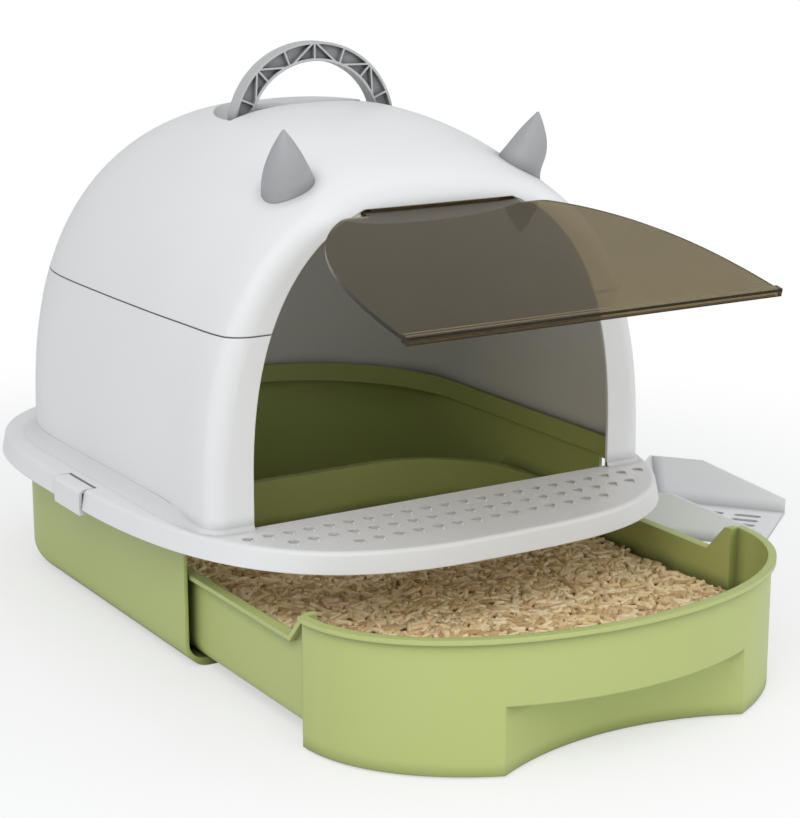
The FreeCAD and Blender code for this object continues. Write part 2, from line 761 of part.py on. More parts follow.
def build_lower_hood(forms):
    """Lower hood: the upright wall, the flange with its skirt, and the perforated entrance step."""
    below = box("below_parting", (-FAR, FAR), (-FAR, FAR), ("base_height", "parting"))
    band = box("tongue_band", (-FAR, FAR), (-FAR, FAR), ("parting - hood_wall", "parting + tongue_height"))
    wall = fuse("lower_wall", common("lower_shell", forms["shell"], below),
                common("tongue", forms["tongue"], band))
    seats = [latch_seat(name + "_latch", side) for name, side in SIDES.items()]
    flange = shaped("flange", flange_form())
    for name, seat in zip(SIDES, seats):
        flange = cut(name + "_window", flange, seat[0])
    lugs = [lug for seat in seats for lug in seat[1]]
    flange = cut("flange_bored", fuse("flange_seats", flange, *lugs), *[seat[2] for seat in seats])
    solid = fuse("lower_solid", cut("lower_arch", wall, forms["door"]), flange)
    doc.recompute()
    return shaped("lower_hood", perforated(solid.Shape))


def handle_recess(forms):
    """Make the block, the moat and the under-space of the recess that the handle folds into."""
    wall, floor = "hood_wall", "moat_floor"
    behind = box("moat_behind", (-FAR, FAR), ("handle_y", FAR), (0, FAR))
    island_behind = box("island_behind", (-FAR, FAR),
                        ("handle_y + handle_depth / 2 + moat_back / 4", FAR), (0, FAR))

    def pocket(name, extra, low):
        bow = oval(name + "_bow", f"moat_half + {extra}", f"handle_rise + moat_back + {extra}", "handle_y", low, FAR)
        front = box(name + "_front", (f"-(moat_half + {extra})", f"moat_half + {extra}"),
                    (f"handle_y - moat_front - {extra}", "handle_y"), (low, FAR))
        return fuse(name, common(name + "_back", bow, behind), front)

    def island(name, extra):
        half = f"handle_half - handle_band - island_side - {extra}"
        reach = f"handle_rise - handle_band - island_side - {extra}"
        return common(name, oval(name + "_bow", half, reach, "handle_y", 0, FAR), island_behind)

    block = common("recess_block", pocket("recess_wall", wall, f"{floor} - {wall}"), forms["middle"])
    moat = cut("moat", pocket("moat_space", "0", floor), island("island", "0"))
    under = common("island_under", island("island_core", wall), forms["within"])
    return block, moat, under


def hinge_lug(name, side):
    """Make the lug behind the arch that carries one flap pin."""
    inner = "flap_neck + hinge_lug_gap"
    return box(name + "_hinge_lug", mirrored(side, inner, inner + " + hinge_lug_width"),
               ("hood_face", "hinge_y + hinge_lug_reach - 1"),
               ("hinge_z - hinge_lug_reach", "hinge_z + hinge_lug_height"))


def build_upper_hood(forms):
    """Upper hood: the dome, with the handle recess, the hinge lugs and the ears' holes."""
    overlap = "parting + tongue_height + tongue_gap"
    above = box("above_parting", (-FAR, FAR), (-FAR, FAR), (overlap, FAR))
    beside = box("beside_tongue", (-FAR, FAR), (-FAR, FAR), ("parting + parting_gap", overlap))
    block, moat, under = handle_recess(forms)
    shell = fuse("upper_shell", common("upper_dome", forms["shell"], above),
                 common("upper_rebate", forms["rebate"], beside))
    shell = cut("upper_open", shell, forms["door"])
    lugs = [common(f"{name}_lug_in", hinge_lug(name, side), forms["middle"]) for name, side in SIDES.items()]
    bores = []
    for name, side in SIDES.items():
        flap_start = mirrored(side, "flap_neck", "flap_neck + hinge_lug_width")[0]
        bores.append(rod(name + "_flap_bore", "x", "hinge_pin / 2 + pin_fit", "hinge_lug_width",
                         flap_start, "hinge_y", "hinge_z"))
        handle_start = mirrored(side, "moat_half - 1", "moat_half + hood_wall + 1")[0]
        bores.append(rod(name + "_handle_bore", "x", "handle_pin / 2 + pin_fit", "hood_wall + 2",
                         handle_start, "handle_y", "handle_z"))
        bores.append(rod(name + "_ear_bore", "z", "ear_peg / 2 + pin_fit", FAR, f"{side} * ear_spread",
                         "hood_face + ear_back", "hinge_z - ear_peg"))
    return cut("upper_hood", fuse("upper_body", shell, block, *lugs), moat, under, *bores)


def build_flap_door():
    """Flap: a flat arched plate with a neck, two hinge bosses and a thick lip along its free edge."""
    y, z = value("hinge_y"), value("hinge_z")
    half_thick = value("flap_thick") / 2
    low = z - value("flap_drop")
    neck, shoulder = value("flap_neck"), z - value("flap_neck_drop")
    arch_plate = plate(door_points(value("flap_gap"), low), y - half_thick, y + half_thick)
    below = Part.makeBox(FAR, FAR, shoulder - low, FreeCAD.Vector(-FAR / 2, -FAR, low))
    top = z + value("hinge_boss") / 2
    head = Part.makeBox(2 * neck, 2 * half_thick, top - shoulder, FreeCAD.Vector(-neck, y - half_thick, shoulder))
    lip_half = value("flap_lip_thick") / 2
    lip = plate(door_points(value("flap_gap"), low), y - lip_half, y + lip_half)
    lip_band = Part.makeBox(FAR, FAR, value("flap_lip_height"), FreeCAD.Vector(-FAR / 2, -FAR, low))
    pieces = [head, lip.common(lip_band)]
    bores = []
    for side in SIDES.values():
        length = value("hinge_boss_length")
        start = FreeCAD.Vector(side * neck, y, z)
        inward = FreeCAD.Vector(-side, 0, 0)
        pieces.append(Part.makeCylinder(value("hinge_boss") / 2, length, start, inward))
        bores.append(Part.makeCylinder(value("hinge_pin") / 2 + value("pin_fit"), length, start, inward))
    solid = arch_plate.common(below).multiFuse(pieces)
    for bore in bores:
        solid = solid.cut(bore)
    solid = solid.removeSplitter()
    corners = []
    for edge in solid.Edges:
        bounds = edge.BoundBox
        level = bounds.ZLength < 0.001 and abs(bounds.ZMin - shoulder) < 0.001 and bounds.XLength < 0.001
        if level and abs(bounds.XMin) > neck + 1:
            corners.append(edge)
    flap = shaped("flap_door", solid.makeFillet(value("flap_shoulder_round"), corners))
    axis = FreeCAD.Vector(0, y, z)
    turn = FreeCAD.Rotation(FreeCAD.Vector(1, 0, 0), -value("flap_open"))
    flap.Placement = FreeCAD.Placement(FreeCAD.Vector(), turn, axis)
    return flap


def handle_ribs():
    """Make the truss ribs between the handle's two curved flanges: radial ones and diagonals."""
    panels = 8
    half, rise = value("handle_half"), value("handle_rise")
    band, thick = value("handle_band"), value("handle_rib")
    y, z, depth = value("handle_y"), value("handle_z"), value("handle_depth")

    def node(index, inner):
        turn = math.pi * index / panels
        shrink = band if inner else 0
        return FreeCAD.Vector((half - shrink) * math.cos(turn), y, z + (rise - shrink) * math.sin(turn))

    pairs = [(node(index, True), node(index, False)) for index in range(1, panels)]
    for index in range(panels):
        pairs.append((node(index, index % 2 == 1), node(index + 1, index % 2 == 0)))
    ribs = []
    for start, end in pairs:
        run = end - start
        rib = Part.makeBox(run.Length, depth, thick, FreeCAD.Vector(0, -depth / 2, -thick / 2))
        turn = FreeCAD.Rotation(FreeCAD.Vector(1, 0, 0), run)
        rib.Placement = FreeCAD.Placement(start, turn)
        ribs.append(rib)
    return shaped("handle_ribs", ribs[0].multiFuse(ribs[1:]))


def build_carry_handle():
    """Handle: an arch of I-section stiffened by truss ribs, on two round feet."""
    near, far = "handle_y - handle_depth / 2", "handle_y + handle_depth / 2"
    inner_half, inner_rise = "handle_half - handle_band", "handle_rise - handle_band"
    above = box("handle_above", (-FAR, FAR), (-FAR, FAR), ("handle_z", FAR))

    def band(name, flange, low, high):
        outer = arch(name + "_outer", f"handle_half - {flange}", f"handle_rise - {flange}", low, high, "handle_z")
        inner = arch(name + "_inner", f"{inner_half} + {flange}", f"{inner_rise} + {flange}", low, high, "handle_z")
        return common(name, cut(name + "_ring", outer, inner), above)

    solid = band("handle_solid", "0", near, far)
    web = "handle_web / 2"
    pockets = [band("handle_pocket_near", "handle_flange", near, f"handle_y - {web}"),
               band("handle_pocket_far", "handle_flange", f"handle_y + {web}", far)]
    ribs = common("handle_truss", handle_ribs(), band("handle_truss_band", "0", near, far))
    feet, bores = [], []
    for name, side in SIDES.items():
        start = mirrored(side, inner_half, "handle_half")[0]
        feet.append(rod(name + "_foot", "x", "handle_depth / 2", "handle_band", start, "handle_y", "handle_z"))
        grip = mirrored(side, "handle_half - handle_pin_grip", "handle_half")[0]
        bores.append(rod(name + "_foot_bore", "x", "handle_pin / 2 + pin_fit", "handle_pin_grip",
                         grip, "handle_y", "handle_z"))
    return cut("carry_handle", fuse("handle_body", cut("handle_section", solid, *pockets), ribs, *feet), *bores)


def build_ear(name, side, forms):
    """Ear: a curved horn that sits on the dome, with a peg through the shell."""
    x, y = value("ear_spread"), value("hood_face + ear_back")
    radius, height = value("ear_base") / 2, value("ear_height")
    lean, nod = value("ear_lean"), value("ear_nod")
    dome = dome_height(x, y)
    sections = []
    for share in (-0.4, 0, 0.3, 0.6, 0.85, 1):
        rising = max(share, 0)
        width = radius * (1 - 0.4 * rising - 0.56 * rising ** 2)
        bend = rising ** 0.75
        centre = FreeCAD.Vector(side * (x + lean * bend), y - nod * bend, dome + height * share)
        sections.append(Part.Wire(Part.makeCircle(width, centre, FreeCAD.Vector(0, 0, 1))))
    horn = shaped(name + "_horn", Part.makeLoft(sections, True))
    depth = value("ear_peg_depth")
    peg = rod(name + "_peg", "z", "ear_peg / 2", "ear_peg_depth + ear_base / 6", f"{side} * ear_spread",
              "hood_face + ear_back", dome - depth)
    return fuse(name + "_ear", cut(name + "_seated", horn, forms["outer"]), peg)


def dome_height(x, y):
    """Give the height of the hood's outer surface above a place near its front."""
    half = value("hood_half")
    apex = value("hood_face") + value("apex_back")
    fall = value("hood_rise") - value("front_rise")
    height = value("hood_rise") - fall * ((apex - y) / value("apex_back")) ** 2
    power = value("section_power")
    return value("base_height") + height * (1 - (abs(x) / half) ** power) ** (1 / power)


def build_latch(name, side):
    """Side clip: a hooked plate that fills its window in the flange and grips under the tray's rim."""
    body = doc.addObject("PartDesign::Body", name + "_latch")
    plane = next(item for item in body.Origin.OriginFeatures if item.Role == "XZ_Plane")
    sketch = body.newObject("Sketcher::SketchObject", name + "_latch_profile")
    sketch.AttachmentSupport = [(plane, "")]
    sketch.MapMode = "FlatFace"
    out, plate_in = "skirt_half + latch_proud", "skirt_half + latch_proud - latch_plate"
    tip = "rim_half - latch_hook_bite"
    profile = [
        ("latch_x", "flange_top"), (plate_in, "flange_top"), (out, "flange_top - latch_plate"),
        (out, "hook_top - latch_hook"), (tip, "hook_top - latch_hook"), (tip, "hook_top"),
        (plate_in, "hook_top"), (plate_in, "flange_top - latch_plate"), ("latch_x", "flange_top - latch_plate")]
    polygon(sketch, [(f"{side} * ({x})", z) for x, z in profile])
    pad = body.newObject("PartDesign::Pad", name + "_latch_plate")
    pad.Profile = sketch
    pad.Midplane = True
    pad.setExpression("Length", bind("latch_width"))
    body.setExpression("Placement.Base.y", bind("latch_y"))
    knuckle = rod(name + "_knuckle", "y", "latch_knuckle / 2", "latch_width", f"{side} * latch_x",
                  "latch_y - latch_width / 2", "latch_z")
    bore = rod(name + "_knuckle_bore", "y", "latch_pin / 2 + pin_fit", "latch_width", f"{side} * latch_x",
               "latch_y - latch_width / 2", "latch_z")
    return cut(name + "_clip", fuse(name + "_clip_solid", body, knuckle), bore)


def build_pins():
    """Pins of the flap, the handle and the clips, one node each."""
    pins = {}
    for name, side in SIDES.items():
        low, high = mirrored(side, "flap_neck - hinge_boss_length + 1", "flap_neck + hinge_lug_width")
        pins[name + "_flap_pin"] = rod(name + "_flap_pin", "x", "hinge_pin / 2", f"({high}) - ({low})", low,
                                       "hinge_y", "hinge_z")
        low, high = mirrored(side, "handle_half - handle_pin_grip + 1", "moat_half + hood_wall")
        pins[name + "_handle_pin"] = rod(name + "_handle_pin", "x", "handle_pin / 2", f"({high}) - ({low})", low,
                                         "handle_y", "handle_z")
        pins[name + "_latch_pin"] = rod(name + "_latch_pin", "y", "latch_pin / 2",
                                        "2 * (latch_window + latch_lug)", f"{side} * latch_x",
                                        "latch_y - latch_window - latch_lug", "latch_z")
    return pins


def scoop_pan(name, inset, low):
    """Make the scoop's flared pan, moved inwards by an inset, with its floor at a height."""
    half, flare, top = "scoop_width / 2", "scoop_flare", "scoop_back_height"
    item = doc.addObject("Part::Wedge", name)
    sizes = {
        "Xmin": f"-({half} - {inset})", "Xmax": f"{half} - {inset}", "Ymin": low, "Ymax": f"{top} + 1",
        "Zmin": inset, "Zmax": "scoop_length", "X2min": f"-({half} + {flare} - {inset})",
        "X2max": f"{half} + {flare} - {inset}", "Z2min": f"{inset} - {flare}", "Z2max": "scoop_length"}
    for key, text in sizes.items():
        item.setExpression(key, bind(text))
    turn = FreeCAD.Rotation(FreeCAD.Vector(1, 0, 0), FreeCAD.Vector(0, 0, 1), FreeCAD.Vector(0, -1, 0), "ZXY")
    item.Placement = FreeCAD.Placement(FreeCAD.Vector(), turn)
    return item


def scoop_slots():
    """Make the three rows of rounded slots in the scoop's floor."""
    slots = []
    length, width = value("scoop_slot_length"), value("scoop_slot_width")
    thick = 3 * value("scoop_wall")
    first = value("scoop_length") - value("scoop_slot_row_pitch") / 2
    for row, count in enumerate((5, 5, 4)):
        y = -(first - row * value("scoop_slot_row_pitch") - length / 2)
        for index in range(count):
            x = (index - (count - 1) / 2) * value("scoop_slot_pitch")
            run = length - width
            centre = FreeCAD.Vector(x, y, -value("scoop_wall"))
            slots.append(Part.makeBox(width, run, thick, centre - FreeCAD.Vector(width / 2, run / 2, 0)))
            for end in (-run / 2, run / 2):
                slots.append(Part.makeCylinder(width / 2, thick, centre + FreeCAD.Vector(0, end, 0)))
    return shaped("scoop_slots", slots[0].multiFuse(slots[1:]))


def build_litter_scoop():
    """Scoop: an open-fronted slotted pan with flared walls and a flat grip, lying on the floor."""
    outer = scoop_pan("scoop_outer", "0", "0")
    inner = scoop_pan("scoop_inner", "scoop_wall", "scoop_wall")
    inner_ahead = box("scoop_mouth", ("-(scoop_width / 2 - scoop_wall)", "scoop_width / 2 - scoop_wall"),
                      ("-(scoop_length + scoop_wall)", "-(scoop_length - scoop_wall)"),
                      ("scoop_wall", "scoop_back_height"))
    top = [("-scoop_length - 1", "scoop_front_height"), ("-scoop_length * 0.35", "scoop_back_height"),
           ("-scoop_length * 0.35", "scoop_back_height + 9"), ("-scoop_length - 1", "scoop_back_height + 9")]
    rear_top = box("scoop_rear_top", (-FAR, FAR), (-FAR, FAR), ("scoop_back_height", FAR))
    grip = box("scoop_grip", ("-scoop_grip_width / 2", "scoop_grip_width / 2"), ("-scoop_wall", "scoop_grip_length"),
               ("scoop_grip_height", "scoop_grip_height + scoop_grip_thick"))
    shell = cut("scoop_shell", outer, inner, inner_ahead, scoop_slots(), rear_top,
                side_column("scoop_top", top, "scoop_width"))
    scoop = fuse("litter_scoop", shell, cut("scoop_grip_trim", grip, inner))
    scoop.Placement = FreeCAD.Placement(
        vector("scoop_x", "scoop_y", 0), FreeCAD.Rotation(FreeCAD.Vector(0, 0, 1), value("scoop_turn") + 90))
    return scoop


def build_hood_forms():
    """Make the nested surfaces of the hood and the entrance arch that its pieces are cut from."""
    wall, tongue = value("hood_wall"), value("tongue_wall")
    rebate = wall - tongue - value("tongue_gap")
    reach = value("hood_round") + wall
    arched = plate(door_points(0, value("flange_top")), value("hood_face") - reach, value("hood_face") + reach)
    lintel = value("hinge_z + lintel_gap")
    door = arched.common(Part.makeBox(FAR, FAR, lintel, FreeCAD.Vector(-FAR / 2, -FAR, 0)))
    return {
        "outer": shaped("hood_outer", hood_form(0)),
        "middle": shaped("hood_middle", hood_form(wall / 2)),
        "within": shaped("hood_within", hood_form(wall * 1.2)),
        "shell": shaped("hood_shell", hood_shell(0, wall)),
        "tongue": shaped("hood_tongue", hood_shell(wall - tongue, wall)),
        "rebate": shaped("hood_rebate", hood_shell(0, rebate)),
        "door": shaped("door_space", door),
    }


def main():
    """Build every node, check it and write it."""
    forms = build_hood_forms()
    nodes = {
        "base_tray": build_base_tray(),
        "litter_drawer": build_litter_drawer(),
        "litter_bed": build_litter_bed(),
        "lower_hood": build_lower_hood(forms),
        "upper_hood": build_upper_hood(forms),
        "flap_door": build_flap_door(),
        "carry_handle": build_carry_handle(),
        "litter_scoop": build_litter_scoop(),
    }
    for name, side in SIDES.items():
        nodes[name + "_ear"] = build_ear(name, side, forms)
        nodes[name + "_latch"] = build_latch(name, side)
    nodes.update(build_pins())
    doc.recompute()
    for item in doc.Objects:
        faults = {"Invalid", "Error"} & set(item.State)
        if faults:
            raise RuntimeError(f"{item.Name}: {item.State}")
    for name, item in nodes.items():
        item.Label = name
        if item.Shape.isNull() or not item.Shape.isValid():
            raise RuntimeError(f"{name} has no valid shape")
    os.makedirs("parts", exist_ok=True)
    for name, item in nodes.items():
        item.Shape.exportStep(f"parts/{name}.step")
        print(name, len(item.Shape.Solids), round(item.Shape.Volume / 1000, 1), "cm3")


if __name__ == "__main__":
    main()
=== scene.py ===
"""Dress the hooded litter box: moulded shells, a smoked flap and a drawer of pellets."""
import logging
import math
import random
from dataclasses import dataclass, field
from enum import Enum
from typing import Any, Iterable, Sequence

import bmesh
import bpy
from mathutils import Euler, Matrix, Vector


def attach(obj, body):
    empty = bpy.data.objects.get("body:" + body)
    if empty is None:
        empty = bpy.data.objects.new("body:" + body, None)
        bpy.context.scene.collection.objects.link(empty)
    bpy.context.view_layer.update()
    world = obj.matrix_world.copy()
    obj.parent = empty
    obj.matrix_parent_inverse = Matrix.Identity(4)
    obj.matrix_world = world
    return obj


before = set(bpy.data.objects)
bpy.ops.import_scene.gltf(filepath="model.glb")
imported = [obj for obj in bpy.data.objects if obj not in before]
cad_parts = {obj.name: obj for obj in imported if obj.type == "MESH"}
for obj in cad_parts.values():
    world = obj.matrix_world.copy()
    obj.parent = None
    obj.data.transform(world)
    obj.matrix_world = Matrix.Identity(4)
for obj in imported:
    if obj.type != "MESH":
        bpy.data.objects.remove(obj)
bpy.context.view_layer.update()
log = logging.getLogger("litter_box")

Colour = tuple[float, float, float]
Place = tuple[float, float, float]
Stop = tuple[Vector, Vector]

MM = 0.001
QUARTER = math.pi / 2
NOISE_MIDDLE = 0.5
TONE = "tone"
# The Mix node's sockets for colours share their names with others, so they go by number.
MIX_SHARE, MIX_FIRST, MIX_SECOND, MIX_COLOUR = 0, 6, 7, 2


class Body(Enum):
    """The moving bodies that new pieces ride on."""

    SHELL = "shell"
    DRAWER = "drawer"


class Slot(Enum):
    """Names of material slots in the record."""

    WHITE = "white"
    LITTER = "litter"


def srgb(red: int, green: int, blue: int) -> Colour:
    """Turn a display colour of 0 to 255 into a linear one.

    Args:
        red: red part.
        green: green part.
        blue: blue part.

    Returns:
        The linear colour.
    """
    def linear(part: int) -> float:
        """Undo the display curve for one part."""
        share = part / 255
        return share / 12.92 if share <= 0.04045 else ((share + 0.055) / 1.055) ** 2.4
    return linear(red), linear(green), linear(blue)


class Value:
    """A shader value that adds Math nodes when it is used in an expression."""

    def __init__(self, graph: "Graph", socket: "bpy.types.NodeSocket | None") -> None:
        """Keep the graph and the socket that gives the value."""
        self.graph = graph
        self.socket = socket

    def _math(self, operation: str, first: Any, second: Any) -> "Value":
        """Add one Math node."""
        return self.graph.node("ShaderNodeMath", {"operation": operation}, {0: first, 1: second})

    def __add__(self, other: Any) -> "Value":
        """Add two values."""
        return self._math("ADD", self, other)

    def __radd__(self, other: Any) -> "Value":
        """Add two values."""
        return self._math("ADD", other, self)

    def __sub__(self, other: Any) -> "Value":
        """Take one value from another."""
        return self._math("SUBTRACT", self, other)

    def __rsub__(self, other: Any) -> "Value":
        """Take one value from another."""
        return self._math("SUBTRACT", other, self)

    def __mul__(self, other: Any) -> "Value":
        """Multiply two values."""
        return self._math("MULTIPLY", self, other)

    def __rmul__(self, other: Any) -> "Value":
        """Multiply two values."""
        return self._math("MULTIPLY", other, self)

    def __pow__(self, other: Any) -> "Value":
        """Raise one value to another."""
        return self._math("POWER", self, other)

    def __rpow__(self, other: Any) -> "Value":
        """Raise one value to another."""
        return self._math("POWER", other, self)


class Graph:
    """A node tree under construction."""

    def __init__(self, tree: bpy.types.NodeTree) -> None:
        """Keep the tree and empty it."""
        self.tree = tree
        self.tree.nodes.clear()

    def node(self, kind: str, settings: dict[str, Any] | None = None,
             sockets: dict[Any, Any] | None = None, output: Any = 0) -> Value:
        """Add a node of any kind.

        Args:
            kind: the node's type name.
            settings: properties that are set first, with a ramp's stops under "stops".
            sockets: values or links of its input sockets, by name or number.
            output: which output to hand back.

        Returns:
            The chosen output, which an end node lacks.
        """
        made = self.tree.nodes.new(kind)
        for key, setting in (settings or {}).items():
            if key == "stops":
                self._set_stops(made.color_ramp, setting)
            else:
                setattr(made, key, setting)
        for key, given in (sockets or {}).items():
            if isinstance(given, Value):
                self.tree.links.new(given.socket, made.inputs[key])
            else:
                made.inputs[key].default_value = given
        return Value(self, made.outputs[output] if len(made.outputs) else None)

    @staticmethod
    def _set_stops(ramp: bpy.types.ColorRamp, stops: Sequence[tuple[float, Colour]]) -> None:
        """Give a ramp its stops.

        Args:
            ramp: the ramp.
            stops: a place and a colour for each stop.
        """
        while len(ramp.elements) < len(stops):
            ramp.elements.new(1.0)
        for element, (place, colour) in zip(ramp.elements, stops):
            element.position = place
            element.color = (*colour, 1.0)


class Shader(Graph):
    """A material under construction."""

    def __init__(self, name: str) -> None:
        """Start an empty material.

        Args:
            name: the material's name.
        """
        self.material = bpy.data.materials.new(name)
        self.material.use_nodes = True
        super().__init__(self.material.node_tree)

    def place(self) -> Value:
        """Give the Object coordinates."""
        return self.node("ShaderNodeTexCoord", output="Object")

    def noise(self, scale: float, detail: float = 2.0, roughness: float = 0.5) -> Value:
        """Give a noise value on Object coordinates.

        Args:
            scale: cells in each metre.
            detail: octaves.
            roughness: strength of the finer octaves.

        Returns:
            A value of about 0 to 1.
        """
        return self.node("ShaderNodeTexNoise", {}, {
            "Vector": self.place(), "Scale": scale, "Detail": detail, "Roughness": roughness},
            "Fac")

    def blend(self, share: Any, first: Any, second: Any) -> Value:
        """Mix two colours.

        Args:
            share: how much of the second.
            first: colour or link at 0.
            second: colour or link at 1.

        Returns:
            The mixed colour.
        """
        given = [value if isinstance(value, Value) else (*value, 1.0) for value in (first, second)]
        return self.node("ShaderNodeMix", {"data_type": "RGBA"}, {
            MIX_SHARE: share, MIX_FIRST: given[0], MIX_SECOND: given[1]}, MIX_COLOUR)

    def surface(self, sockets: dict[str, Any]) -> bpy.types.Material:
        """End the material with a Principled surface."""
        return self.close(self.node("ShaderNodeBsdfPrincipled", {}, sockets, "BSDF"))

    def close(self, end: Value) -> bpy.types.Material:
        """Link a closure to the material's output and hand the material over."""
        self.node("ShaderNodeOutputMaterial", {}, {"Surface": end})
        return self.material


@dataclass(frozen=True)
class MouldedPlastic:
    """Injection-moulded plastic with a fine grain, soft edges, painted shade in its hollows and
    slight clouds.
    """

    name: str
    colour: Colour
    shade: Colour
    roughness: float = 0.38
    edge: float = 1.2 * MM
    edge_samples: int = 6
    cloud_scale: float = 7.0
    cloud_detail: float = 3.0
    cloud_share: float = 0.8
    cloud_roughness: float = 0.12
    grain: float = 0.05
    grain_depth: float = 0.2 * MM
    grain_scale: float = 1400.0
    grain_detail: float = 2.0
    grain_fineness: float = 0.6
    grain_roughness: float = 0.06
    # Painted shade: hollows, creases and gaps between parts are darkened in the colour, by how far
    # the darkening reaches, with what curve and how dark.
    painted_shade_reach: float = 12 * MM
    painted_shade_samples: int = 8
    painted_shade_power: float = 1.3
    painted_shade_factor: float = 0.3

    def material(self) -> bpy.types.Material:
        """Make the material.

        Returns:
            The finished material.
        """
        shader = Shader(self.name)
        cloud = shader.noise(self.cloud_scale, self.cloud_detail)
        speck = shader.noise(self.grain_scale, self.grain_detail, self.grain_fineness)
        # Painted shade: the Ambient Occlusion value darkens the colour towards a dim copy of the
        # shade tone wherever the surface is hemmed in.
        open_air = shader.node("ShaderNodeAmbientOcclusion", {"samples": self.painted_shade_samples},
                               {"Distance": self.painted_shade_reach}, "AO")
        deep = tuple(part * self.painted_shade_factor for part in self.shade)
        flat = shader.blend(cloud * self.cloud_share, self.colour, self.shade)
        colour = shader.blend(open_air ** self.painted_shade_power, deep, flat)
        rough = (self.roughness + (cloud - NOISE_MIDDLE) * self.cloud_roughness
                 + (speck - NOISE_MIDDLE) * self.grain_roughness)
        soft = shader.node("ShaderNodeBevel", {"samples": self.edge_samples},
                           {"Radius": self.edge})
        relief = shader.node("ShaderNodeBump", {}, {
            "Strength": self.grain, "Distance": self.grain_depth, "Height": speck,
            "Normal": soft})
        return shader.surface({"Base Color": colour, "Roughness": rough, "Normal": relief})


@dataclass(frozen=True)
class SmokedSheet:
    """See-through smoked sheet, faintly streaked."""

    name: str
    tint: Colour
    deep: Colour
    clear: float = 0.96
    bending: float = 1.3
    roughness: float = 0.03
    streak_scale: float = 18.0
    streak_detail: float = 3.0
    streak_roughness: float = 0.04

    def material(self) -> bpy.types.Material:
        """Make the material.

        Returns:
            The finished material.
        """
        shader = Shader(self.name)
        streak = shader.noise(self.streak_scale, self.streak_detail)
        return shader.surface({
            "Base Color": shader.blend(streak, self.tint, self.deep),
            "Roughness": self.roughness + streak * self.streak_roughness,
            "IOR": self.bending, "Transmission Weight": self.clear})


@dataclass(frozen=True)
class PelletFinish:
    """Pressed plant pellets: matt tan with lighter and browner pieces and a rough skin."""

    name: str
    light: Colour
    middle: Colour
    dark: Colour
    middle_stop: float = 0.45
    roughness: float = 0.86
    lump_scale: float = 170.0
    mottle_scale: float = 520.0
    mottle_detail: float = 3.0
    mottle_share: float = 0.35
    relief: float = 0.4
    relief_depth: float = 0.4 * MM

    def material(self, tint: str | None) -> bpy.types.Material:
        """Make the material.

        Args:
            tint: attribute that holds each pellet's own tone, or None for the bed below.

        Returns:
            The finished material.
        """
        shader = Shader(self.name)
        if tint is None:
            tone = shader.node("ShaderNodeTexVoronoi", {}, {
                "Vector": shader.place(), "Scale": self.lump_scale}, "Distance")
        else:
            tone = shader.node("ShaderNodeAttribute", {"attribute_name": tint}, {}, "Fac")
        mottle = shader.noise(self.mottle_scale, self.mottle_detail)
        mixed = tone + (mottle - NOISE_MIDDLE) * self.mottle_share
        stops = [(0.0, self.dark), (self.middle_stop, self.middle), (1.0, self.light)]
        colour = shader.node("ShaderNodeValToRGB", {"stops": stops}, {"Fac": mixed}, "Color")
        relief = shader.node("ShaderNodeBump", {}, {
            "Strength": self.relief, "Distance": self.relief_depth, "Height": mottle})
        return shader.surface({
            "Base Color": colour, "Roughness": self.roughness, "Normal": relief})


WHITE = MouldedPlastic("white_moulding", srgb(232, 232, 232), srgb(224, 224, 225), roughness=0.42)
GREEN = MouldedPlastic("green_moulding", srgb(183, 193, 121), srgb(175, 186, 113), roughness=0.4,
                       edge=1.8 * MM)
EAR_GREY = MouldedPlastic("grey_moulding", srgb(166, 166, 168), srgb(159, 159, 161), roughness=0.5)
HANDLE_GREY = MouldedPlastic("handle_moulding", srgb(190, 190, 190), srgb(182, 182, 183),
                             roughness=0.45)
PIN_GREY = MouldedPlastic("pin_moulding", srgb(190, 190, 190), srgb(180, 180, 180), edge=0.4 * MM)
SMOKE = SmokedSheet("smoked_sheet", (0.27, 0.205, 0.09), (0.235, 0.178, 0.077))
PELLETS = PelletFinish("pellets", srgb(250, 233, 196), srgb(234, 207, 160), srgb(190, 158, 110))
# The bed under the pellets is darker than they are: painted shade for the gaps between pellets.
PAINTED_SHADE_BED = PelletFinish("pellet_bed_painted_shade", srgb(150, 122, 82), srgb(120, 95, 60), srgb(84, 65, 40))


def add_mesh(name: str, mesh: bmesh.types.BMesh, smooth: float = 0.6) -> bpy.types.Object:
    """Turn a bmesh into an object at the origin.

    Args:
        name: the piece's name.
        mesh: the finished bmesh, which is freed.
        smooth: angle in radians below which edges are shaded smooth.

    Returns:
        The new object.
    """
    data = bpy.data.meshes.new(name)
    for face in mesh.faces:
        face.smooth = True
    for edge in mesh.edges:
        edge.smooth = len(edge.link_faces) == 2 and edge.calc_face_angle(0.0) < smooth
    mesh.to_mesh(data)
    mesh.free()
    piece = bpy.data.objects.new(name, data)
    bpy.context.scene.collection.objects.link(piece)
    return piece


def coat(piece: bpy.types.Object, material: bpy.types.Material) -> None:
    """Give a piece one material and report it.

    Args:
        piece: the object.
        material: its finish.
    """
    piece.data.materials.clear()
    piece.data.materials.append(material)
    log.info("%s: %d faces in %s", piece.name, len(piece.data.polygons), material.name)


def ease(share: float) -> float:
    """Turn an even rise from 0 to 1 into one with soft ends."""
    share = min(max(share, 0.0), 1.0)
    return share * share * (3 - 2 * share)


